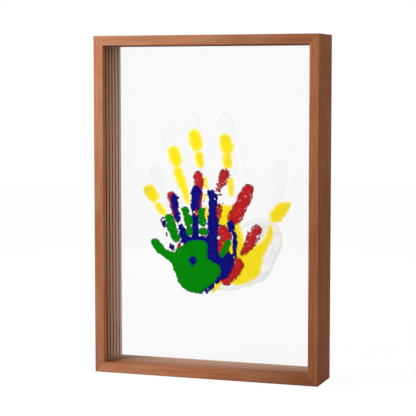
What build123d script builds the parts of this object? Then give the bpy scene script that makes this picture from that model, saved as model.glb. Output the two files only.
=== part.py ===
"""A layered handprint frame: a mitred wooden frame that holds five clear panels, each with one painted hand.

Millimetres. X runs to the right, Y from the front to the back and Z up. The origin is at the middle of the
frame's bottom face.
"""

import os

from build123d import *

# Frame
FRAME_WIDTH = 220.0
FRAME_HEIGHT = 320.0
FRAME_DEPTH = 45.0
BAR_FACE = 9.5  # width of the wooden bars seen from the front
EDGE_RADIUS = 0.8  # on the long edges of the bars

# Clear panels, from the front to the back
PANEL_NAMES = ("green", "blue", "red", "yellow", "white")
PANEL_THICKNESS = 2.0
GROOVE_DEPTH = 4.0
GROOVE_PLAY = 0.2  # between a panel and each wall of its groove
PANEL_SIDE_PLAY = 0.5  # between a panel's side and the floor of its groove
PANEL_TOP_PLAY = 0.8  # the same above it; below it the panel stands on the floor
PAINT_THICKNESS = 0.2

# Angled nails across the two bottom corners, driven in from the back
NAIL_INSET = 3.0  # from the two outer faces
NAIL_LEG = 5.0
NAIL_THICKNESS = 0.8
NAIL_LENGTH = 10.0
NAIL_SETBACK = 1.0  # below the back of the frame
NAIL_GAP = 2.0  # between the two nails of a corner

# Locating pins, which stand in the stiles and reach into the loose top rail
PIN_DIAMETER = 3.0
PIN_LENGTH = 14.0
PIN_COVER = 2.0  # wood left above a pin
PIN_CHAMFER = 0.4
PIN_PLAY = 0.1  # all round a pin in the top rail
PIN_END_PLAY = 0.3

# Magnets in the cut faces of the two top corners
MAGNET_DIAMETER = 4.0
MAGNET_THICKNESS = 2.0
MAGNET_EDGE = 1.2  # wood between a magnet and the front or the back of the frame
GLUE_GAP = 0.05  # round each glued pin and magnet

# Hands, as strokes of round dabs (x, z, radius) on a sheet of this size.
# x is from its middle and z from its bottom.
SHEET_WIDTH = 200.0
SHEET_HEIGHT = 300.0

GREEN_HAND = (
    ((-50, 115.7, 4.3), (-44.8, 109.6, 4.2), (-42.5, 107.6, 3.5), (-39.6, 106.2, 4.1), (-31, 101, 5.0)),
    ((-35.8, 139, 4.3), (-33.3, 130.5, 4.5), (-31, 124.3, 4.0), (-28.8, 120.6, 3.6)),
    ((-20.2, 147.4, 3.7), (-19.6, 144.6, 3.4)),
    ((-17.7, 140.2, 3.9), (-17, 136.6, 4.2)),
    ((-16.2, 129, 3.3), (-15.8, 127, 3.6)),
    ((-3.8, 146.8, 3.4), (-4.2, 144, 3.0)),
    ((-3.2, 139, 3.6), (-2.8, 136.6, 3.7)),
    ((-3.4, 128.2, 3.5), (-1.2, 127.7, 3.7)),
    ((22, 118.3, 2.9), (20.2, 113.8, 3.2), (16, 107.2, 2.7)),
    ((-16, 98.5, 17.5), (-11, 88, 17.7), (4.5, 87.4, 7.0)),
    ((-11, 107.2, 12.3), (-4.6, 113.4, 6.5)),
    ((-6, 90.5, 14.8), (7.8, 91.8, 6.8)),
)

BLUE_HAND = (
    ((-45.5, 138, 1.7), (-44.3, 133.5, 2.5), (-43, 131.3, 2.2)),
    ((-41.5, 123.2, 1.0), (-41, 122.8, 1.0)),
    ((-36.6, 111.6, 2.9), (-35.7, 110.9, 2.8)),
    ((-33.5, 157.6, 4.7), (-33.2, 151.5, 3.3), (-32, 146, 3.5), (-30.6, 139.5, 3.4), (-29.8, 136.4, 2.2)),
    ((-27.6, 130.6, 3.3), (-25.8, 125.5, 4.0), (-21, 117.5, 4.4)),
    ((-12, 164.4, 5.6), (-13, 151.5, 4.8), (-12.7, 140, 3.4), (-12.4, 118, 4.3)),
    ((2.8, 163.2, 4.0), (4.5, 160, 4.8), (4.3, 149, 4.5), (4.2, 143, 4.1), (4.3, 136, 6.0)),
    ((4.3, 136, 6.0), (4.1, 129.5, 5.6), (3.9, 121, 5.2), (3.2, 113, 6.4), (5.6, 104.5, 5.6)),
    ((21.5, 135, 3.7), (22.8, 130.8, 3.1), (26, 124, 2.4), (26.1, 115, 2.3), (25.2, 106, 2.4)),
    ((-23, 118.2, 4.6), (-10, 118.5, 5.4), (3, 118, 5.5)),
    ((-13, 101.5, 17.5), (0, 93, 16.5)),
    ((17.4, 99.6, 8.8), (13.4, 90.5, 8.0)),
    ((-9, 69.8, 1.3), (-2, 72.4, 2.9), (3.3, 76.4, 3.1)),
)

RED_HAND = (
    ((-39.6, 159.8, 4.3), (-38, 153, 3.6), (-34.5, 138, 3.2)),
    ((-12.8, 178.3, 4.7), (-12, 172, 4.5), (-12.3, 160, 4.1), (-12.9, 143, 3.9)),
    ((-8.2, 176, 1.5), (-9, 170.5, 2.1)),
    ((13, 180.8, 5.0), (11.2, 174, 4.5), (8, 168.6, 2.3), (6.9, 165.6, 1.3)),
    ((8.2, 161.6, 0.9), (10.2, 161.3, 1.1)),
    ((8, 151, 3.0), (6.5, 141, 4.2)),
    ((36.2, 166.6, 5.6), (33, 158.5, 6.5), (28.6, 150, 6.7), (23.2, 140.2, 7.0)),
    ((45.2, 129.4, 5.0), (41.8, 124.2, 6.5), (38.7, 118.2, 5.4), (33.6, 109.6, 3.4), (31.2, 106.8, 2.1)),
    ((11, 127.9, 5.6), (15.5, 123, 5.5), (11.5, 114, 6.6)),
    ((-33, 110.5, 1.5), (-30.4, 115.4, 1.7)),
    ((-14, 101, 18.4), (5, 96, 18.0)),
    ((24.8, 96.2, 7.4), (21, 89, 7.3), (15, 82.8, 6.4)),
)

YELLOW_HAND = (
    ((-64.3, 163, 6.0), (-60.4, 157.6, 5.4)),
    ((-55.6, 149.2, 3.3), (-51.4, 143.6, 3.0), (-48.8, 140.9, 1.7)),
    ((-40, 200.6, 5.7), (-38, 194, 6.0), (-36.6, 190.6, 4.6)),
    ((-35.6, 181.8, 4.4), (-32.9, 174, 4.7), (-29.8, 166.5, 3.9), (-27, 158, 2.6), (-25.8, 153.4, 1.7)),
    ((-18.8, 216.2, 5.9), (-17.5, 209.4, 6.6), (-16.4, 206, 4.9)),
    ((-14.5, 196.6, 4.5), (-12.8, 189, 3.4)),
    ((-8.9, 176.3, 1.7), (-7.6, 169, 2.1)),
    ((-8.7, 160, 1.3), (-8.5, 157, 1.1)),
    ((-7.6, 148, 1.9), (-7, 140, 2.5)),
    ((11.2, 212.4, 5.6), (13, 206, 6.6), (13.3, 203, 5.0)),
    ((13.4, 194.8, 4.6), (14, 189.4, 4.3)),
    ((16.2, 174.2, 3.1), (17.4, 167, 2.9), (17.3, 161.6, 2.0)),
    ((73.6, 154.2, 1.6), (66.8, 149, 6.1), (61.7, 143, 6.5), (58.6, 139.4, 3.2)),
    ((56, 132, 1.7), (55, 124.5, 3.1), (51.8, 117.2, 3.6), (47, 111.5, 5.0), (40, 104, 8.0)),
    ((8.6, 144.3, 7.0), (14.5, 144.8, 6.6), (24.4, 124, 4.2), (26.2, 110, 5.4)),
    ((8.8, 143, 6.4), (9.4, 134.6, 5.2)),
    ((-5, 98, 19.0), (14, 98, 20.0)),
    ((36, 101.5, 12.0), (33, 93.2, 13.2), (23.5, 89, 13.0)),
    ((-0.6, 70.4, 1.9), (3, 74, 3.1), (5.8, 77.8, 2.4)),
)

WHITE_HAND = (
    ((-61.5, 181.5, 6.0), (-57.5, 171, 5.8)),
    ((-53, 160, 5.2), (-45, 144, 4.8)),
    ((-49.5, 216.5, 6.3), (-46, 203, 6.2)),
    ((-42.5, 191, 5.4), (-36, 170, 5.0)),
    ((-24, 232, 6.4), (-22, 219, 6.4)),
    ((-20, 207, 5.6), (-16.5, 186, 5.2)),
    ((9.5, 232, 6.2), (12, 218, 6.4)),
    ((13.5, 205, 5.6), (15.8, 183, 5.4)),
    ((63.5, 188.5, 6.8), (63, 176, 6.6), (62, 164, 5.2), (56, 142, 6.5)),
    ((44, 119, 21.5), (33, 100, 24.0), (12, 92, 23.0), (-2, 102, 24.0)),
)

HANDS = (GREEN_HAND, BLUE_HAND, RED_HAND, YELLOW_HAND, WHITE_HAND)
# Round spots that took no paint
BARE_SPOTS = {"green": ((-13, 100.4, 3.9), (-13.3, 97.2, 2.0)), "blue": ((-11.8, 144.4, 2.0),)}

# Sizes that follow
OPENING_WIDTH = FRAME_WIDTH - 2 * BAR_FACE
OPENING_HEIGHT = FRAME_HEIGHT - 2 * BAR_FACE
PANEL_PITCH = FRAME_DEPTH / (len(PANEL_NAMES) + 1)
PANEL_MIDDLES = [PANEL_PITCH * (number + 1) - FRAME_DEPTH / 2 for number in range(len(PANEL_NAMES))]
GROOVE_WIDTH = PANEL_THICKNESS + 2 * GROOVE_PLAY
PANEL_WIDTH = OPENING_WIDTH + 2 * (GROOVE_DEPTH - PANEL_SIDE_PLAY)
PANEL_HEIGHT = OPENING_HEIGHT + 2 * GROOVE_DEPTH - PANEL_TOP_PLAY
PANEL_BOTTOM = BAR_FACE - GROOVE_DEPTH

BAR_MIDDLE = FRAME_WIDTH / 2 - BAR_FACE / 2  # of a stile, from the middle of the frame
PIN_Y = PANEL_PITCH * 1.5  # between two grooves
PIN_TOP = FRAME_HEIGHT - PIN_COVER
PIN_BOTTOM = PIN_TOP - PIN_LENGTH
PIN_HOLE_RADIUS = PIN_DIAMETER / 2 + GLUE_GAP  # in a stile
PIN_SOCKET_RADIUS = PIN_DIAMETER / 2 + PIN_PLAY  # in the top rail
MAGNET_HOLE_RADIUS = MAGNET_DIAMETER / 2 + GLUE_GAP
MAGNET_Y = FRAME_DEPTH / 2 - MAGNET_EDGE - MAGNET_DIAMETER / 2
MAGNET_Z = FRAME_HEIGHT - BAR_FACE / 2  # halfway down the cut face
NAIL_BACK = FRAME_DEPTH / 2 - NAIL_SETBACK
NAIL_STEP = NAIL_LENGTH + NAIL_GAP
NAIL_PAIR_LENGTH = NAIL_STEP + NAIL_LENGTH

SIDES = (("left", -1), ("right", 1))
RIGHT = Vector(1, 0, 0)
BACK = Vector(0, 1, 0)
UP = Vector(0, 0, 1)


def grooved_bar(corner, along, length):
    """One bar of the frame: grooved stock from an outer corner, cut at 45 degrees at both ends.

    The bars follow one another round the frame, so that the grooves are on the left of the way along.
    """
    inward = along.cross(BACK)
    with BuildPart() as bar:
        with BuildSketch(Plane(origin=corner, x_dir=BACK, z_dir=along)):
            with Locations((0, BAR_FACE / 2)):
                RectangleRounded(FRAME_DEPTH, BAR_FACE, EDGE_RADIUS)
            with Locations(*[(middle, BAR_FACE - GROOVE_DEPTH / 2) for middle in PANEL_MIDDLES]):
                Rectangle(GROOVE_WIDTH, GROOVE_DEPTH, mode=Mode.SUBTRACT)
        extrude(amount=length)
        split(bisect_by=Plane(origin=corner, z_dir=along - inward))
        split(bisect_by=Plane(origin=corner + along * length, z_dir=-along - inward))
    return bar.part


def nail_outline(side, back):
    """The angle of a corner nail at a given depth, with a leg in the stile and a leg in the bottom rail."""
    outer = side * (FRAME_WIDTH / 2 - NAIL_INSET)
    end = outer - side * NAIL_LEG
    inner = outer - side * NAIL_THICKNESS
    top = NAIL_INSET + NAIL_LEG
    fold = NAIL_INSET + NAIL_THICKNESS
    corners = ((outer, NAIL_INSET), (end, NAIL_INSET), (end, fold), (inner, fold), (inner, top), (outer, top))
    with BuildSketch(Plane.XZ.offset(-back)) as outline:
        with BuildLine():
            Polyline(*corners, close=True)
        make_face()
    return outline.sketch


def pin_circles(side, radius):
    """Circles for the two pins of a top corner, at the height of their lower ends."""
    with BuildSketch(Plane.XY.offset(PIN_BOTTOM)) as circles:
        with Locations((side * BAR_MIDDLE, -PIN_Y), (side * BAR_MIDDLE, PIN_Y)):
            Circle(radius)
    return circles.sketch


def magnet_circles(side, into, radius):
    """Circles for two magnets on a top corner's cut face, facing into the top rail (1) or the stile (-1)."""
    face = Plane(origin=(side * BAR_MIDDLE, 0, MAGNET_Z), x_dir=BACK, z_dir=(-side * into, 0, into))
    with BuildSketch(face) as circles:
        with Locations((-MAGNET_Y, 0), (MAGNET_Y, 0)):
            Circle(radius)
    return circles.sketch


def dab_circle(dab):
    """The edge of one dab of paint, moved from the sheet to the frame's opening."""
    x, z, radius = dab
    x_scale = OPENING_WIDTH / SHEET_WIDTH
    z_scale = OPENING_HEIGHT / SHEET_HEIGHT
    return Edge.make_circle(radius * x_scale, Plane((x * x_scale, BAR_FACE + z * z_scale)))


os.makedirs("parts", exist_ok=True)

# Bottom rail, glued and nailed to the stiles
nail_slot = NAIL_PAIR_LENGTH + NAIL_SETBACK
bottom_bar = grooved_bar(Vector(-FRAME_WIDTH / 2, 0, 0), RIGHT, FRAME_WIDTH)
with BuildPart() as bottom_rail:
    add(bottom_bar)
    for _, side in SIDES:
        extrude(nail_outline(side, FRAME_DEPTH / 2), amount=nail_slot, mode=Mode.SUBTRACT)
bottom_rail.part.label = "bottom_rail"
export_step(bottom_rail.part, "parts/bottom_rail.step")

# Stiles
for name, side in SIDES:
    stile_start = 0 if side > 0 else FRAME_HEIGHT
    stile_bar = grooved_bar(Vector(side * FRAME_WIDTH / 2, 0, stile_start), UP * side, FRAME_HEIGHT)
    with BuildPart() as stile:
        add(stile_bar)
        extrude(nail_outline(side, FRAME_DEPTH / 2), amount=nail_slot, mode=Mode.SUBTRACT)
        extrude(pin_circles(side, PIN_HOLE_RADIUS), amount=PIN_LENGTH, mode=Mode.SUBTRACT)
        extrude(magnet_circles(side, -1, MAGNET_HOLE_RADIUS), amount=MAGNET_THICKNESS, mode=Mode.SUBTRACT)
    stile.part.label = f"{name}_stile"
    export_step(stile.part, f"parts/{name}_stile.step")

# Top rail, which lifts off
top_bar = grooved_bar(Vector(FRAME_WIDTH / 2, 0, FRAME_HEIGHT), -RIGHT, FRAME_WIDTH)
with BuildPart() as top_rail:
    add(top_bar)
    for _, side in SIDES:
        extrude(pin_circles(side, PIN_SOCKET_RADIUS), amount=PIN_LENGTH + PIN_END_PLAY, mode=Mode.SUBTRACT)
        extrude(magnet_circles(side, 1, MAGNET_HOLE_RADIUS), amount=MAGNET_THICKNESS, mode=Mode.SUBTRACT)
top_rail.part.label = "top_rail"
export_step(top_rail.part, "parts/top_rail.step")

# Fastenings of each corner
for name, side in SIDES:
    with BuildPart() as corner_nails:
        for number in range(2):
            extrude(nail_outline(side, NAIL_BACK - number * NAIL_STEP), amount=NAIL_LENGTH)
    corner_nails.part.label = f"corner_nails_{name}"
    export_step(corner_nails.part, f"parts/corner_nails_{name}.step")

    with BuildPart() as locating_pins:
        extrude(pin_circles(side, PIN_DIAMETER / 2), amount=PIN_LENGTH)
        chamfer(locating_pins.faces().filter_by(Axis.Z).group_by(Axis.Z)[-1].edges(), PIN_CHAMFER)
    locating_pins.part.label = f"locating_pins_{name}"
    export_step(locating_pins.part, f"parts/locating_pins_{name}.step")

    with BuildPart() as stile_magnets:
        extrude(magnet_circles(side, -1, MAGNET_DIAMETER / 2), amount=MAGNET_THICKNESS)
    stile_magnets.part.label = f"stile_magnets_{name}"
    export_step(stile_magnets.part, f"parts/stile_magnets_{name}.step")

    with BuildPart() as rail_magnets:
        extrude(magnet_circles(side, 1, MAGNET_DIAMETER / 2), amount=MAGNET_THICKNESS)
    rail_magnets.part.label = f"rail_magnets_{name}"
    export_step(rail_magnets.part, f"parts/rail_magnets_{name}.step")

# Panels, and the hand on the front of each
for name, middle, hand in zip(PANEL_NAMES, PANEL_MIDDLES, HANDS):
    with BuildPart() as panel:
        with BuildSketch(Plane.XZ.offset(-middle)):
            with Locations((0, PANEL_BOTTOM + PANEL_HEIGHT / 2)):
                Rectangle(PANEL_WIDTH, PANEL_HEIGHT)
        extrude(amount=PANEL_THICKNESS / 2, both=True)
    panel.part.label = f"panel_{name}"
    export_step(panel.part, f"parts/panel_{name}.step")

    with BuildPart() as handprint:
        with BuildSketch(Plane.XZ.offset(PANEL_THICKNESS / 2 - middle)):
            for dabs in hand:
                for first, second in zip(dabs, dabs[1:]):
                    make_hull([dab_circle(first), dab_circle(second)])
            for spot in BARE_SPOTS.get(name, ()):
                make_face(dab_circle(spot), mode=Mode.SUBTRACT)
        extrude(amount=PAINT_THICKNESS)
    handprint.part.label = f"handprint_{name}"
    export_step(handprint.part, f"parts/handprint_{name}.step")
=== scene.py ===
import math

import bpy
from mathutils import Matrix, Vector, kdtree, noise


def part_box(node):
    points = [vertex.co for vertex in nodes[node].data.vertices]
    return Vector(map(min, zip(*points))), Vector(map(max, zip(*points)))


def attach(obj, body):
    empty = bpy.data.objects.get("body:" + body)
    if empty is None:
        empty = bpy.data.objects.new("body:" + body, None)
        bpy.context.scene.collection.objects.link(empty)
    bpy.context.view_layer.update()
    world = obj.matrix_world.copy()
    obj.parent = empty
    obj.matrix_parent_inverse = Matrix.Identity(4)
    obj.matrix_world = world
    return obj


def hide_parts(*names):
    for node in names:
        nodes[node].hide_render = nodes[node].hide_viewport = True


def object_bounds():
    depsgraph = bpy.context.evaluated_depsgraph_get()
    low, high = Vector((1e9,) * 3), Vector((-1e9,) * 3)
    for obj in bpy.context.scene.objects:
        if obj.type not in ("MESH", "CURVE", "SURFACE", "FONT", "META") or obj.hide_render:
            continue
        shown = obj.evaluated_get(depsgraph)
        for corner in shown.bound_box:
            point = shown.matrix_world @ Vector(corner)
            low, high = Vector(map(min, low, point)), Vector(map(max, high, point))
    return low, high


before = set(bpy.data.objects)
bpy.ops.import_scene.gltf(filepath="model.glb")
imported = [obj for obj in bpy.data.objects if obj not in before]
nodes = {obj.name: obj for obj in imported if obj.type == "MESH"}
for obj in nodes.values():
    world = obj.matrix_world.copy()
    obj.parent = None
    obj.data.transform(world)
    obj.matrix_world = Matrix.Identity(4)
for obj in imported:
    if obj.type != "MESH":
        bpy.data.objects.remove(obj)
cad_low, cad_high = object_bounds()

MM = 0.001  # one millimetre in metres
WHITE = (1, 1, 1, 1)

# Size of the frame, from the CAD model
frame_width = cad_high.x - cad_low.x
frame_height = cad_high.z - cad_low.z

# Camera, which stands a little to the right of the frame and looks down on it
CAMERA_PLACE = (0.4473, -1.2976, 0.2747)  # metres
CAMERA_YAW = 19.15  # degrees
CAMERA_PITCH = -4.83
CAMERA_LENS = 126.75  # millimetres
CAMERA_SENSOR = 36.0  # millimetres
TRANSPARENT_BOUNCES = 48  # a ray may cross both faces of every panel, out and back

# Light
WORLD_LEVEL = 0.68  # of the white light from all sides
# Lamps, which face the middle of the frame: place and size in metres, and power in watts
LAMPS = {
    "key": ((-0.55, -0.50, 0.50), 0.45, 7.0),
    "rear": ((-0.55, 0.85, 0.40), 0.60, 2.5),
}

# Floor
FLOOR_SIZE = 24.0  # metres
FLOOR_BOUNCE = 0.4  # share of the light on the floor that it throws back at the frame
FLOOR_COLOUR = 0.06  # share of the floor's look that its lighting makes; the rest is white by itself
FLOOR_LIGHT = 1.0  # level of the light on the floor close to the frame
FLOOR_NEAR = 0.5  # metres from the frame at which that light begins to fall
FLOOR_FAR = 4.0  # and at which only the world's light is left

# Wood stain, in linear red, green and blue, and the lightness of the grain at which each is met
STAIN_DARK = (0.230, 0.082, 0.036)
STAIN_MIDDLE = (0.323, 0.126, 0.059)
STAIN_LIGHT = (0.412, 0.181, 0.094)
STAIN_STOPS = (0.36, 0.50, 0.64)
# Change of colour in each bar, as factors on the stain: partly the bar's own tone, and partly painted light
# and sheen, paler and greyer on the left stile and the top rail, warmer on the right stile
BAR_TINTS = {
    "left_stile": (1.03, 1.05, 1.07),
    "right_stile": (1.02, 0.96, 0.90),
    "bottom_rail": (1.05, 1.04, 1.03),
    "top_rail": (1.00, 1.06, 1.13),
}
# Painted light and shade along each bar, where the lamp's light falls off: how much lighter or darker the
# stain is drawn at the start, middle and end of a bar, from the bottom or from the left
BAR_PAINTED_FALLOFF = {
    "left_stile": (0.82, 0.98, 1.11),
    "right_stile": (1.00, 0.93, 1.10),
    "bottom_rail": (1.14, 1.20, 0.71),
    "top_rail": (1.23, 1.04, 0.85),
}
FALLOFF_STOPS = (0.0, 0.5, 1.0)
FALLOFF_POWERS = (1.0, 1.35, 1.55)  # painted light lifts green and blue more than red
# Patches of redder and of paler stain, as changes of its colour, and the noise at which they are full
PATCH_RED = (0.99, 0.87, 0.80)
PATCH_PALE = (1.02, 1.09, 1.16)
PATCH_STOPS = (0.36, 0.64)

# Grain of the wood, in layers: stretch along the bar, scale per metre, detail and roughness
GRAIN = {
    "rings": (24, 210, 3, 0.50),
    "streaks": (40, 700, 4, 0.60),
    "fibres": (50, 2300, 3, 0.60),
    "blotches": (4, 24, 3, 0.55),
    "patches": (3, 90, 4, 0.55),
    "pores": (30, 2600, 2, 0.50),
}
GRAIN_SHARES = {"rings": 0.26, "streaks": 0.28, "fibres": 0.26, "blotches": 0.20}  # in its lightness
GRAIN_SHIFT = (0.37, 0.21, 0.53)  # metres between the patterns of two bars
PORE_COLOUR = (0.070, 0.020, 0.009)
PORE_SHARE = 0.30  # of a pore's colour in its look
PORE_STOPS = (0.30, 0.40)  # noise at which a pore is full, and at which it ends

# Inside of the wooden frame
BAR_WIDTH = 9.5 * MM
INSIDE_START = BAR_WIDTH - 1.2 * MM  # distance from the outside at which the inside's look begins
INSIDE_FULL = BAR_WIDTH - 0.2 * MM  # and at which it is complete
STILE_INSIDE_PAINTED_LIGHT = 1.16  # painted light: brightness inside the stiles
RAIL_INSIDE_PAINTED_SHADE = 0.76  # painted shade: brightness inside the rails
# Colour of the painted sheen inside the frame
PAINTED_REAR_SHEEN = (0.76, 0.52, 0.39)
# Painted sheen and light from behind, paler and greyer towards the back of the inside: the depths between
# which it grows, and its share at both
STILE_SHEEN_DEPTHS = (-20 * MM, 22 * MM, 0.05, 0.90)
RAIL_SHEEN_DEPTHS = (-14 * MM, 22 * MM, 0.00, 0.75)
STAIN_WARM = (1.13, 1.00, 0.78)  # change of colour inside the stiles
# The depths between which that change fades, and its share at both
STILE_WARMTH = (-20 * MM, 16 * MM, 1.0, 0.0)

# Grooves of the stiles, darkened with painted shade
GROOVE_PITCH = 7.5 * MM
GROOVE_REACH = 1.3 * MM  # half the width of a groove, and a little
GROOVE_FLOOR = 5.0 * MM  # from the outside of the frame
GROOVE_LIMIT = 2.5 * GROOVE_PITCH  # depth past which there is no groove
# The depths of the first and the last groove, and the brightness that the painted shade takes from them
GROOVE_PAINTED_SHADE = (-2 * GROOVE_PITCH, 2 * GROOVE_PITCH, 0.60, 0.35)

# Mitres, with a dark line where two bars meet
MITRE_LINE = (0.05 * MM, 0.35 * MM)  # distances between which the line fades
MITRE_COLOUR = (0.050, 0.016, 0.008)
MITRE_SHARE = 0.2

# Lacquer and relief of the wood
WOOD_SHEEN = 0.004
BAR_ROUGHNESS = {"left_stile": 0.28, "right_stile": 0.48, "bottom_rail": 0.45, "top_rail": 0.85}
STREAK_ROUGHNESS = 0.15  # added in the streaks
FIBRE_RELIEF = 0.6
PORE_RELIEF = 0.5
MITRE_RELIEF = 2.0
WOOD_BUMP = (0.25, 0.05 * MM)  # strength and depth

# Clear panels
ACRYLIC_IOR = 1.49
ACRYLIC_CLEAR = 0.9943  # share of the light that a face lets through
ACRYLIC_SHIFT = (0.31, 0.17, 0.41)  # metres between the patterns of two panels
SMUDGES = (35, 5)  # scale per metre and detail
POLISH_ROUGHNESS = 0.02
SMUDGE_ROUGHNESS = 0.10  # added in the smudges
# Share of the light that a face reflects: that of bare acrylic less a base, times a factor, plus a little
MIRROR_BASE = 0.03
MIRROR_FACTOR = 0.15
MIRROR_LITTLE = 0.001
SAW_MARKS = (900, 2)  # scale per metre and detail
EDGE_DARK = (0.34, 0.42, 0.44)
EDGE_LIGHT = (0.56, 0.65, 0.66)
EDGE_STOPS = (0.3, 0.7)  # noise at which each of them is met
EDGE_COVER = 0.45  # how much a cut edge hides of what lies behind it
EDGE_ROUGHNESS = 0.1
SAW_ROUGHNESS = 0.3  # added in the saw marks

# Metals of the hidden fastenings: colour, roughness and scale of the marks per metre
METALS = {
    "drawn_steel": ((0.56, 0.56, 0.57), 0.28, 900),
    "nickel_plate": ((0.74, 0.72, 0.69), 0.14, 600),
}
FASTENINGS = {
    "corner_nails": "drawn_steel",
    "locating_pins": "drawn_steel",
    "stile_magnets": "nickel_plate",
    "rail_magnets": "nickel_plate",
}
MARK_DETAIL = 4
MARK_SHADE = 0.82  # brightness where the marks are darkest
MARK_ROUGHNESS = 0.25  # added where they are lightest
METAL_BUMP = (0.2, 0.02 * MM)  # strength and depth

# Paint of each hand, in linear red, green and blue
PAINTS = {
    "green": (0.000, 0.205, 0.001),
    "blue": (0.000, 0.000, 0.180),
    "red": (0.500, 0.006, 0.008),
    "yellow": (0.940, 0.750, 0.000),
    "white": (0.965, 0.980, 0.990),
}
# Colour of the paint at its edge, where it gathered or ran thin, and how far in that reaches; the white
# hand's grey rim is painted shade
RIMS = {
    "green": (0.000, 0.110, 0.001),
    "blue": (0.000, 0.000, 0.050),
    "red": (0.070, 0.002, 0.004),
    "yellow": (0.960, 0.840, 0.220),
    # painted shade round the white hand
    "white": (0.815, 0.835, 0.850),
}
RIM_WIDTHS = {"green": 2.2 * MM, "blue": 2.6 * MM, "red": 3.0 * MM, "yellow": 4.2 * MM, "white": 7.0 * MM}
# Brightness of the paint where the skin pressed it thin, as a share of the rest
PRESSED = {"green": 0.92, "blue": 0.92, "red": 0.92, "yellow": 0.92, "white": 0.82}
PRESS_MARKS = (90, 4)  # scale per metre and detail
PRESS_STOPS = (0.35, 0.60)  # noise at which the paint is thin, and at which it is full
EVEN_BACK = 0.5  # least share of full paint on the back of a film, which lies flat on its panel
SKIN_MARKS = (700, 3)  # scale per metre and detail
SKIN_RELIEF = 0.6
PAINT_BUMP = (0.3, 0.08 * MM)  # strength and depth
PAINT_SHEEN = 0.03
PAINT_ROUGHNESS = 0.5
SKIN_ROUGHNESS = 0.25  # added by the marks of the skin
PAINT_SHIFT = (0.29, 0.43, 0.11)  # metres between the patterns of two hands
# A hand whose fingers left thin paint: how much each face of the film covers of what lies behind it
FINGER_COVER = {"white": 0.14}
FINGER_START = 138 * MM  # height at which the paint begins to thin
FINGER_THIN = 152 * MM  # and at which it is thin

# Films of paint
PAINT_STEP = 0.5 * MM  # of the grid that a film is cut from
OUTLINE_STEP = 0.4 * PAINT_STEP  # between the points that distances to an outline are taken from
PAINT_REACH = 3 * MM  # how far specks of paint lie from a hand
PAINT_LIFT = 0.01 * MM  # between a film and its panel
PAINT_THIN = 0.07 * MM  # thickness at the edge of a film
PAINT_THICK = 0.19 * MM  # and inside it

# Uneven edges of the films, in millimetres
SPREAD = {"green": 0.15, "blue": -0.2, "red": 0.0, "yellow": 0.5, "white": 0.0}  # past the outline
RAGGEDNESS = {"green": 1.2, "blue": 2.1, "red": 2.0, "yellow": 1.2, "white": 0.9}
EDGE_WAVES = ((0.22, 0.4), (0.50, 0.8), (1.00, 0.8))  # scale per millimetre and height
SEED_STEP = 17.3  # between the noise of two hands

# Bare spots, pinholes and specks: scale per millimetre, place in the noise and the limit it has to pass
BARE_SPOTS = (0.65, (40, 0, 0), 0.80)
PINHOLES = (0.90, (0, 0, 90), 0.70)
SPECKS = (0.70, (0, 70, 0), 0.75)
BARE_SLOPE = 16  # millimetres of depth for each unit past the limit
PINHOLE_SLOPE = 12
SPECK_SLOPE = 14
PINHOLE_RIM = 0.5  # depth at the rim of a pinhole
SPECK_FALL = 0.4  # how much smaller specks are for each millimetre from the hand
DRYNESS = {"green": 0.2, "blue": 0.4, "red": 0.75, "yellow": 0.2, "white": 0.2}
DRY_SHARE = 0.35  # of that dryness, off the limits
DRY_WAVES = (0.05, (0, 0, 5), 0.2)  # scale per millimetre, place in the noise and height
DRY_PATCH = 0.4  # off the limits in the middle of a dry patch
# Where a hand left its paint in patches: x, z and radius in millimetres
DRY_PATCHES = {
    "green": ((19, 122, 7), (-1, 152, 4), (-18, 153, 4)),
    "blue": ((7, 168, 4), (-31, 157, 4), (-45, 147, 4), (25, 139, 4), (-3, 82, 9)),
    "red": ((44, 136, 11), (17, 189, 5), (8, 175, 6), (35, 170, 6), (24, 158, 5)),
    "yellow": ((2, 84, 8), (56, 148, 6), (17, 178, 8), (-8, 168, 7)),
    "white": ((44, 130, 30),),
}

# Faces of panels, films and CAD hands
FLAT_FACE = 0.5  # a panel or film is flat, and not at its edge, where its normal has more than this along y
FRONT_FACE = -0.9  # a CAD hand's face is in front where its normal's y is no more than this
POINT_DIGITS = 7  # of a metre, in which two points are the same


# Small helpers for materials


def new_material(name):
    """An empty node material, its tree and its output node."""
    material = bpy.data.materials.new(name)
    material.use_nodes = True
    tree = material.node_tree
    tree.nodes.clear()
    return material, tree, tree.nodes.new("ShaderNodeOutputMaterial")


def set_material(thing, material):
    """Gives a thing one material all over."""
    thing.data.materials.clear()
    thing.data.materials.append(material)


def opaque(colour):
    """A colour of red, green and blue with full cover."""
    return tuple(colour) + (1,)


def grey(level):
    """An opaque grey."""
    return (level, level, level, 1)


def scaled(colour, factors):
    """A colour with each part times a factor of its own."""
    return tuple(part * factor for part, factor in zip(colour, factors))


def add(tree, kind, inputs=None, **settings):
    """A new node, with its settings and with its inputs set to values or linked to sockets."""
    made = tree.nodes.new(kind)
    for name, value in settings.items():
        setattr(made, name, value)
    for name, value in (inputs or {}).items():
        if isinstance(value, bpy.types.NodeSocket):
            tree.links.new(value, made.inputs[name])
        else:
            made.inputs[name].default_value = value
    return made


def maths(tree, operation, *values):
    """The result of a Math node."""
    return add(tree, "ShaderNodeMath", dict(enumerate(values)), operation=operation).outputs[0]


def rest_of(tree, value, share):
    """A share of what a value leaves of 1."""
    return maths(tree, "MULTIPLY_ADD", value, -share, share)


def between(tree, value, start, end, first=0.0, last=1.0, kind="SMOOTHSTEP"):
    """A value that goes from first to last as another goes from start to end."""
    limits = {"Value": value, "From Min": start, "From Max": end, "To Min": first, "To Max": last}
    return add(tree, "ShaderNodeMapRange", limits, interpolation_type=kind).outputs[0]


def blend(tree, share, first, second, mode="MIX"):
    """The result of mixing two colours."""
    inputs = {0: share, 6: first, 7: second}
    return add(tree, "ShaderNodeMix", inputs, data_type="RGBA", blend_type=mode).outputs[2]


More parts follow.
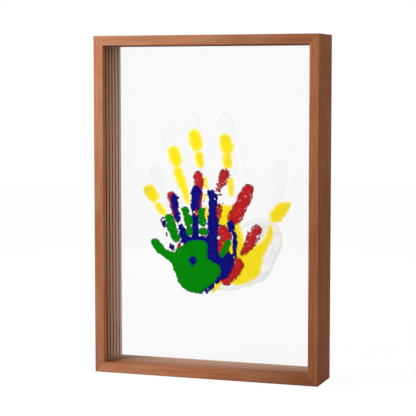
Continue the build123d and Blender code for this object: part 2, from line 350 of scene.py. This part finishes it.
def ramp(tree, value, places, colours):
    """A value turned into a colour, or into a grey, by what it is at some places."""
    made = add(tree, "ShaderNodeValToRGB", {0: value})
    elements = made.color_ramp.elements
    while len(elements) < len(places):
        elements.new(0.5)
    for element, place, colour in zip(elements, places, colours):
        element.position = place
        element.color = opaque(colour) if isinstance(colour, tuple) else grey(colour)
    return made.outputs[0]


def object_place(tree):
    """Where a point lies in the frame, in metres."""
    return add(tree, "ShaderNodeTexCoord").outputs["Object"]


def shifted(tree, place, step, seed):
    """A place moved by some steps, so that no two pieces have the same pattern."""
    offset = tuple(seed * part for part in step)
    return add(tree, "ShaderNodeVectorMath", {0: place, 1: offset}).outputs[0]


def cloud(tree, place, scale, detail, roughness=0.55):
    """A noise value between 0 and 1."""
    inputs = {"Vector": place, "Scale": scale, "Detail": detail, "Roughness": roughness}
    return add(tree, "ShaderNodeTexNoise", inputs).outputs["Fac"]


def bump(tree, height, strength, distance):
    """The normal of a surface with a fine relief."""
    inputs = {"Strength": strength, "Distance": distance, "Height": height}
    return add(tree, "ShaderNodeBump", inputs).outputs[0]


def facing_back(tree, geometry):
    """How far a face looks to the back: 1 is straight back and -1 straight to the front."""
    return add(tree, "ShaderNodeSeparateXYZ", {0: geometry.outputs["True Normal"]}).outputs["Y"]


def looked_at(tree):
    """1 where something is seen, also through glass or in a mirror, and 0 where it only gives light."""
    path = add(tree, "ShaderNodeLightPath")
    seen = maths(tree, "MAXIMUM", path.outputs["Is Camera Ray"], path.outputs["Is Transmission Ray"])
    return maths(tree, "MAXIMUM", seen, path.outputs["Is Glossy Ray"])


# Wood


def grain(tree, place, layer):
    """One layer of the grain, drawn out along the bar."""
    stretch, *pattern = GRAIN[layer]
    drawn_out = add(tree, "ShaderNodeMapping", {"Vector": place, "Scale": (1, 1, 1 / stretch)})
    return cloud(tree, drawn_out.outputs[0], *pattern)


def inside_painted_light(tree, colour, upright, depth, from_outside):
    """The stain inside the frame, with painted light and shade: a painted sheen towards the back, painted
    shade in the grooves and inside the rails, painted light inside the stiles, and warmer colour towards
    the front of the stiles.
    """
    inside = between(tree, from_outside, INSIDE_START, INSIDE_FULL)
    # Painted light inside the stiles, and painted shade inside the rails
    level = STILE_INSIDE_PAINTED_LIGHT if upright else RAIL_INSIDE_PAINTED_SHADE
    brightness = maths(tree, "MULTIPLY_ADD", inside, level - 1, 1.0)
    # Painted shade in the grooves
    if upright:
        near = maths(tree, "LESS_THAN", maths(tree, "PINGPONG", depth, GROOVE_PITCH / 2), GROOVE_REACH)
        deep = maths(tree, "GREATER_THAN", from_outside, GROOVE_FLOOR)
        between_faces = maths(tree, "LESS_THAN", maths(tree, "ABSOLUTE", depth), GROOVE_LIMIT)
        groove = maths(tree, "MULTIPLY", maths(tree, "MULTIPLY", near, deep), between_faces)
        groove_shade = maths(tree, "MULTIPLY", groove, between(tree, depth, *GROOVE_PAINTED_SHADE, "LINEAR"))
        brightness = maths(tree, "SUBTRACT", brightness, groove_shade)
        warm = maths(tree, "MULTIPLY", inside, between(tree, depth, *STILE_WARMTH, "LINEAR"))
        colour = blend(tree, warm, colour, opaque(STAIN_WARM), "MULTIPLY")
    # Painted sheen: the inside drawn paler and greyer towards the back, where light from behind falls
    sheen_depths = STILE_SHEEN_DEPTHS if upright else RAIL_SHEEN_DEPTHS
    rear_sheen = maths(tree, "MULTIPLY", inside, between(tree, depth, *sheen_depths, "LINEAR"))
    colour = blend(tree, rear_sheen, colour, opaque(PAINTED_REAR_SHEEN))
    return add(tree, "ShaderNodeVectorMath", {0: colour, "Scale": brightness}, operation="SCALE").outputs[0]


def wood(bar, seed):
    """Stained and lacquered wood with its grain along a bar."""
    material, tree, output = new_material(f"stained_wood_{bar}")
    upright = bar.endswith("stile")
    place = object_place(tree)
    across, depth, up = add(tree, "ShaderNodeSeparateXYZ", {0: place}).outputs
    from_side = maths(tree, "SUBTRACT", frame_width / 2, maths(tree, "ABSOLUTE", across))
    from_end = maths(tree, "MINIMUM", up, maths(tree, "SUBTRACT", frame_height, up))
    from_outside = maths(tree, "MINIMUM", from_side, from_end)

    # Grain
    turn = (0, 0, 0) if upright else (0, math.pi / 2, 0)
    moved = shifted(tree, place, GRAIN_SHIFT, seed)
    turned = add(tree, "ShaderNodeMapping", {"Vector": moved, "Rotation": turn}).outputs[0]
    layers = {layer: grain(tree, turned, layer) for layer in GRAIN}
    off_pores = ramp(tree, layers["pores"], PORE_STOPS, (0.0, 1.0))
    lightness = 0.0
    for layer, share in GRAIN_SHARES.items():
        lightness = maths(tree, "MULTIPLY_ADD", layers[layer], share, lightness)

    # Stain
    stains = [scaled(stain, BAR_TINTS[bar]) for stain in (STAIN_DARK, STAIN_MIDDLE, STAIN_LIGHT)]
    colour = ramp(tree, lightness, STAIN_STOPS, stains)
    patches = ramp(tree, layers["patches"], PATCH_STOPS, (PATCH_RED, PATCH_PALE))
    colour = blend(tree, 1.0, colour, patches, "MULTIPLY")
    colour = blend(tree, rest_of(tree, off_pores, PORE_SHARE), colour, opaque(PORE_COLOUR))
    # Painted light and shade: the stain drawn lighter or darker along the bar, where the lamp's light falls
    # off
    ends = (up, cad_low.z, cad_high.z) if upright else (across, cad_low.x, cad_high.x)
    falloff_colours = [tuple(light**power for power in FALLOFF_POWERS) for light in BAR_PAINTED_FALLOFF[bar]]
    painted_falloff = ramp(tree, between(tree, *ends, kind="LINEAR"), FALLOFF_STOPS, falloff_colours)
    colour = blend(tree, 1.0, colour, painted_falloff, "MULTIPLY")
    colour = inside_painted_light(tree, colour, upright, depth, from_outside)
    gap = maths(tree, "ABSOLUTE", maths(tree, "SUBTRACT", from_side, from_end))
    off_mitre = between(tree, gap, *MITRE_LINE)
    colour = blend(tree, rest_of(tree, off_mitre, MITRE_SHARE), colour, opaque(MITRE_COLOUR))

    # Relief and lacquer
    height = maths(tree, "MULTIPLY", layers["fibres"], FIBRE_RELIEF)
    height = maths(tree, "MULTIPLY_ADD", off_pores, PORE_RELIEF, height)
    height = maths(tree, "MULTIPLY_ADD", off_mitre, MITRE_RELIEF, height)
    roughness = maths(tree, "MULTIPLY_ADD", layers["streaks"], STREAK_ROUGHNESS, BAR_ROUGHNESS[bar])
    inputs = {
        "Base Color": colour,
        "Roughness": roughness,
        "Specular IOR Level": WOOD_SHEEN,
        "Normal": bump(tree, height, *WOOD_BUMP),
    }
    shader = add(tree, "ShaderNodeBsdfPrincipled", inputs)
    tree.links.new(shader.outputs[0], output.inputs["Surface"])
    return material


# Clear panels


def acrylic(colour, seed):
    """Clear polished sheet: see-through faces with a faint sheen and smudges, and greyer cut edges."""
    material, tree, output = new_material(f"clear_acrylic_{colour}")
    place = shifted(tree, object_place(tree), ACRYLIC_SHIFT, seed)
    geometry = add(tree, "ShaderNodeNewGeometry")
    clear = add(tree, "ShaderNodeBsdfTransparent", {"Color": grey(ACRYLIC_CLEAR)})

    # Faces. Light goes straight through, so the back of a face has to reflect as much as its front
    smudges = cloud(tree, place, *SMUDGES)
    roughness = maths(tree, "MULTIPLY_ADD", smudges, SMUDGE_ROUGHNESS, POLISH_ROUGHNESS)
    sheen = add(tree, "ShaderNodeBsdfGlossy", {"Color": WHITE, "Roughness": roughness})
    flip = 1 / ACRYLIC_IOR - ACRYLIC_IOR
    bend = maths(tree, "MULTIPLY_ADD", geometry.outputs["Backfacing"], flip, ACRYLIC_IOR)
    reflected = add(tree, "ShaderNodeFresnel", {"IOR": bend}).outputs[0]
    slant = maths(tree, "SUBTRACT", reflected, MIRROR_BASE)
    mirror = maths(tree, "MULTIPLY_ADD", slant, MIRROR_FACTOR, MIRROR_LITTLE)
    mirror = maths(tree, "MAXIMUM", mirror, 0.0)
    face = add(tree, "ShaderNodeMixShader", {0: mirror, 1: clear.outputs[0], 2: sheen.outputs[0]})

    # Cut edges
    saw_marks = cloud(tree, place, *SAW_MARKS)
    inputs = {
        "Base Color": ramp(tree, saw_marks, EDGE_STOPS, (EDGE_DARK, EDGE_LIGHT)),
        "Roughness": maths(tree, "MULTIPLY_ADD", saw_marks, SAW_ROUGHNESS, EDGE_ROUGHNESS),
    }
    sawn = add(tree, "ShaderNodeBsdfPrincipled", inputs)
    edge = add(tree, "ShaderNodeMixShader", {0: EDGE_COVER, 1: clear.outputs[0], 2: sawn.outputs[0]})

    flatness = maths(tree, "ABSOLUTE", facing_back(tree, geometry))
    on_face = maths(tree, "GREATER_THAN", flatness, FLAT_FACE)
    whole = add(tree, "ShaderNodeMixShader", {0: on_face, 1: edge.outputs[0], 2: face.outputs[0]})
    tree.links.new(whole.outputs[0], output.inputs["Surface"])
    return material


# Metal of the hidden fastenings


def metal(name, colour, roughness, scale):
    """Drawn or plated metal with fine marks."""
    material, tree, output = new_material(name)
    marks = cloud(tree, object_place(tree), scale, MARK_DETAIL)
    dark = tuple(MARK_SHADE * part for part in colour)
    inputs = {
        "Base Color": blend(tree, marks, opaque(dark), opaque(colour)),
        "Metallic": 1.0,
        "Roughness": maths(tree, "MULTIPLY_ADD", marks, MARK_ROUGHNESS, roughness),
        "Normal": bump(tree, marks, *METAL_BUMP),
    }
    shader = add(tree, "ShaderNodeBsdfPrincipled", inputs)
    tree.links.new(shader.outputs[0], output.inputs["Surface"])
    return material


# Paint


def paint(colour, back, seed):
    """Dried paint, uneven where the skin pressed it thinner, with another shade at its edge."""
    material, tree, output = new_material(f"{colour}_paint")
    place = object_place(tree)
    _, depth, up = add(tree, "ShaderNodeSeparateXYZ", {0: place}).outputs
    moved = shifted(tree, place, PAINT_SHIFT, seed)
    pressed = cloud(tree, moved, *PRESS_MARKS)
    skin = cloud(tree, moved, *SKIN_MARKS)
    off_back = maths(tree, "LESS_THAN", facing_back(tree, add(tree, "ShaderNodeNewGeometry")), FLAT_FACE)

    full = ramp(tree, pressed, PRESS_STOPS, (0.0, 1.0))
    full = maths(tree, "MAXIMUM", full, rest_of(tree, off_back, EVEN_BACK))
    thin = tuple(PRESSED[colour] * part for part in PAINTS[colour])
    shade = blend(tree, full, opaque(thin), opaque(PAINTS[colour]))
    # The front of a film lies deeper where the film is thinner, and that is at its edge
    edge = between(tree, depth, back - PAINT_THIN, back - PAINT_THICK, 1.0, 0.0)
    shade = blend(tree, maths(tree, "MULTIPLY", off_back, edge), shade, opaque(RIMS[colour]))

    height = maths(tree, "MULTIPLY_ADD", skin, SKIN_RELIEF, pressed)
    inputs = {
        "Base Color": shade,
        "Roughness": maths(tree, "MULTIPLY_ADD", skin, SKIN_ROUGHNESS, PAINT_ROUGHNESS),
        "Specular IOR Level": PAINT_SHEEN,
        "Normal": bump(tree, height, *PAINT_BUMP),
    }
    if colour in FINGER_COVER:
        inputs["Alpha"] = between(tree, up, FINGER_START, FINGER_THIN, 1.0, FINGER_COVER[colour])
    shader = add(tree, "ShaderNodeBsdfPrincipled", inputs)
    tree.links.new(shader.outputs[0], output.inputs["Surface"])
    return material


# Films of paint


def outline_of(cad_object):
    """The outline of a CAD hand as pairs of points (x, z): the edges of one front face only."""
    mesh = cad_object.data
    owners = {}
    for face in mesh.polygons:
        if face.normal.y > FRONT_FACE:
            continue
        points = [mesh.vertices[index].co for index in face.vertices]
        keys = [(round(point.x, POINT_DIGITS), round(point.z, POINT_DIGITS)) for point in points]
        for first, second in zip(keys, keys[1:] + keys[:1]):
            edge = (min(first, second), max(first, second))
            owners[edge] = owners.get(edge, 0) + 1
    return [edge for edge, count in owners.items() if count == 1]


def depth_grid(outline, low, columns, rows):
    """How far each point of a grid lies inside the outline; less than 0 is outside."""
    samples = []
    for (x, z), (next_x, next_z) in outline:
        pieces = max(1, round(math.hypot(next_x - x, next_z - z) / OUTLINE_STEP))
        for piece in range(pieces):
            share = piece / pieces
            samples.append((x + share * (next_x - x), 0, z + share * (next_z - z)))
    nearest = kdtree.KDTree(len(samples))
    for index, sample in enumerate(samples):
        nearest.insert(sample, index)
    nearest.balance()
    depths = {}
    for row in range(rows):
        z = low[1] + row * PAINT_STEP
        crossings = []
        for (x, start), (next_x, end) in outline:
            if (start <= z) != (end <= z):
                crossings.append(x + (z - start) / (end - start) * (next_x - x))
        for column in range(columns):
            x = low[0] + column * PAINT_STEP
            inside = sum(crossing < x for crossing in crossings) % 2
            distance = nearest.find((x, 0, z))[2]
            if inside or distance < PAINT_REACH:
                depths[column, row] = distance if inside else -distance
    return depths


def closeness(spot, x, z, radius):
    """1 at the middle of a round patch, and 0 from its rim on."""
    return max(0, 1 - math.hypot(spot.x - x, spot.y - z) / radius)


def noise_at(spot, scale, place):
    """Noise of a scale at a spot, from a place of its own."""
    return noise.noise(spot * scale + Vector(place))


def past_limit(spot, pattern, dry):
    """How far the noise of bare spots, pinholes or specks is past its limit, which dryness lowers."""
    scale, place, limit = pattern
    return noise_at(spot, scale, place) - limit + dry


def ragged(depth, x, z, seed, colour):
    """The depth of a point once the edge is uneven, with bare spots inside it and specks outside."""
    spot = Vector((x / MM, z / MM, seed * SEED_STEP))
    depth = depth / MM + SPREAD[colour]
    depth += RAGGEDNESS[colour] * sum(height * noise.noise(spot * scale) for scale, height in EDGE_WAVES)
    dry_everywhere = DRY_SHARE * DRYNESS[colour]
    dry_scale, dry_place, dry_height = DRY_WAVES
    dry = dry_everywhere + dry_height * noise_at(spot, dry_scale, dry_place)
    for patch in DRY_PATCHES[colour]:
        dry += DRY_PATCH * closeness(spot, *patch)
    bare = past_limit(spot, BARE_SPOTS, dry)
    if depth > 0 and bare > 0:
        depth -= BARE_SLOPE * bare
    pinhole = past_limit(spot, PINHOLES, dry_everywhere)
    if depth > 0 and pinhole > 0:
        depth = min(depth, PINHOLE_RIM - PINHOLE_SLOPE * pinhole)
    speck = past_limit(spot, SPECKS, dry)
    if depth < 0 and speck > 0:
        depth += SPECK_SLOPE * speck - SPECK_FALL * abs(depth)
    return depth * MM


def cut_cells(depths, columns, rows, vertex):
    """The front faces of a film: the cells of the grid, cut where the depth passes 0."""
    faces = []
    for column in range(columns - 1):
        for row in range(rows - 1):
            corners = [(column, row), (column + 1, row), (column + 1, row + 1), (column, row + 1)]
            values = [depths.get(corner, -PAINT_REACH) for corner in corners]
            if max(values) <= 0:
                continue
            face = []
            for here, there, value, other in zip(
                corners, corners[1:] + corners[:1], values, values[1:] + values[:1]
            ):
                if value > 0:
                    face.append(vertex(here, *here, value))
                if (value > 0) != (other > 0):
                    share = value / (value - other)
                    cut = [a + share * (b - a) for a, b in zip(here, there)]
                    face.append(vertex((min(here, there), max(here, there)), *cut, 0))
            faces.append(face)
    return faces


def rim_edges(faces):
    """The edges that belong to one face only."""
    single = {}
    for face in faces:
        for first, second in zip(face, face[1:] + face[:1]):
            if (second, first) in single:
                del single[second, first]
            else:
                single[first, second] = True
    return list(single)


def paint_film(colour, cad_object, back, seed):
    """A closed film of paint with a ragged edge, cut from the outline of a CAD hand."""
    outline = outline_of(cad_object)
    low = [min(point[axis] for edge in outline for point in edge) - PAINT_REACH for axis in (0, 1)]
    high = [max(point[axis] for edge in outline for point in edge) + PAINT_REACH for axis in (0, 1)]
    columns, rows = (math.ceil((high[axis] - low[axis]) / PAINT_STEP) + 1 for axis in (0, 1))

    def grid_place(column, row):
        return low[0] + column * PAINT_STEP, low[1] + row * PAINT_STEP

    depths = depth_grid(outline, low, columns, rows)
    for (column, row), depth in depths.items():
        depths[column, row] = ragged(depth, *grid_place(column, row), seed, colour)

    vertices = []
    numbers = {}

    def vertex(key, column, row, depth):
        if key not in numbers:
            swell = min(1, max(0, depth) / RIM_WIDTHS[colour])
            thickness = PAINT_THIN + (PAINT_THICK - PAINT_THIN) * swell * (2 - swell)
            x, z = grid_place(column, row)
            numbers[key] = len(vertices)
            vertices.append((x, back - thickness, z))
        return numbers[key]

    fronts = cut_cells(depths, columns, rows, vertex)
    count = len(vertices)
    vertices += [(x, back, z) for x, _, z in vertices]
    backs = [[index + count for index in reversed(face)] for face in fronts]
    sides = [[second, first, first + count, second + count] for first, second in rim_edges(fronts)]
    name = f"paint_film_{colour}"
    mesh = bpy.data.meshes.new(name)
    mesh.from_pydata(vertices, [], fronts + backs + sides)
    mesh.validate()
    film = bpy.data.objects.new(name, mesh)
    bpy.context.scene.collection.objects.link(film)
    return film


# The dressed part

scene = bpy.context.scene

# Wooden bars
for seed, bar in enumerate(BAR_TINTS, start=1):
    set_material(nodes[bar], wood(bar, seed))

# Fastenings
metals = {name: metal(name, *look) for name, look in METALS.items()}
for piece, metal_name in FASTENINGS.items():
    for side in ("left", "right"):
        set_material(nodes[f"{piece}_{side}"], metals[metal_name])

# Panels and the paint on them
for seed, name in enumerate(PAINTS, start=1):
    set_material(nodes[f"panel_{name}"], acrylic(name, seed))
    panel_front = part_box(f"panel_{name}")[0][1]
    back = panel_front - PAINT_LIFT
    film = paint_film(name, nodes[f"handprint_{name}"], back, seed)
    film.visible_shadow = False
    film.visible_diffuse = False
    set_material(film, paint(name, back, seed))
    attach(film, f"layer_{name}")
    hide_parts(f"handprint_{name}")

# Floor: white with a faint shadow where it is looked at, and matt where it only gives light
half = FLOOR_SIZE / 2
floor_corners = [(-half, -half, 0), (half, -half, 0), (half, half, 0), (-half, half, 0)]
floor_mesh = bpy.data.meshes.new("floor")
floor_mesh.from_pydata(floor_corners, [], [(0, 1, 2, 3)])
floor = bpy.data.objects.new("floor", floor_mesh)
scene.collection.objects.link(floor)
floor_material, tree, output = new_material("pale_floor")
matt = add(tree, "ShaderNodeBsdfDiffuse", {"Color": grey(FLOOR_BOUNCE)})
pale = add(tree, "ShaderNodeBsdfDiffuse", {"Color": grey(FLOOR_COLOUR)})
away = add(tree, "ShaderNodeVectorMath", {0: object_place(tree)}, operation="LENGTH").outputs["Value"]
light = between(tree, away, FLOOR_NEAR, FLOOR_FAR, FLOOR_LIGHT, WORLD_LEVEL)
strength = maths(tree, "MULTIPLY_ADD", light, -FLOOR_COLOUR, 1.0)
glow = add(tree, "ShaderNodeEmission", {"Color": WHITE, "Strength": strength})
seen = add(tree, "ShaderNodeAddShader", {0: pale.outputs[0], 1: glow.outputs[0]})
mixed = add(tree, "ShaderNodeMixShader", {0: looked_at(tree), 1: matt.outputs[0], 2: seen.outputs[0]})
tree.links.new(mixed.outputs[0], output.inputs["Surface"])
set_material(floor, floor_material)

# World: white where it is looked at, softer as a light
world = bpy.data.worlds.new("studio")
scene.world = world
world.use_nodes = True
tree = world.node_tree
tree.nodes.clear()
level = maths(tree, "MULTIPLY_ADD", looked_at(tree), 1 - WORLD_LEVEL, WORLD_LEVEL)
sky = add(tree, "ShaderNodeBackground", {"Color": WHITE, "Strength": level})
add(tree, "ShaderNodeOutputWorld", {"Surface": sky.outputs[0]})

# Lamps
for name, (place, size, power) in LAMPS.items():
    lamp_data = bpy.data.lights.new(name, "AREA")
    lamp_data.energy = power
    lamp_data.size = size
    lamp = bpy.data.objects.new(name, lamp_data)
    lamp.location = place
    lamp_aim = Vector((0, 0, frame_height / 2)) - Vector(place)
    lamp.rotation_euler = lamp_aim.to_track_quat("-Z", "Y").to_euler()
    lamp.visible_camera = False
    scene.collection.objects.link(lamp)

# Camera
camera_data = bpy.data.cameras.new("camera")
camera_data.sensor_width = CAMERA_SENSOR
camera_data.lens = CAMERA_LENS
camera = bpy.data.objects.new("camera", camera_data)
camera.location = CAMERA_PLACE
camera.rotation_euler = (math.radians(90 + CAMERA_PITCH), 0, math.radians(CAMERA_YAW))
scene.collection.objects.link(camera)
bpy.context.scene.camera = camera

scene.view_settings.view_transform = "Standard"
scene.cycles.transparent_max_bounces = TRANSPARENT_BOUNCES
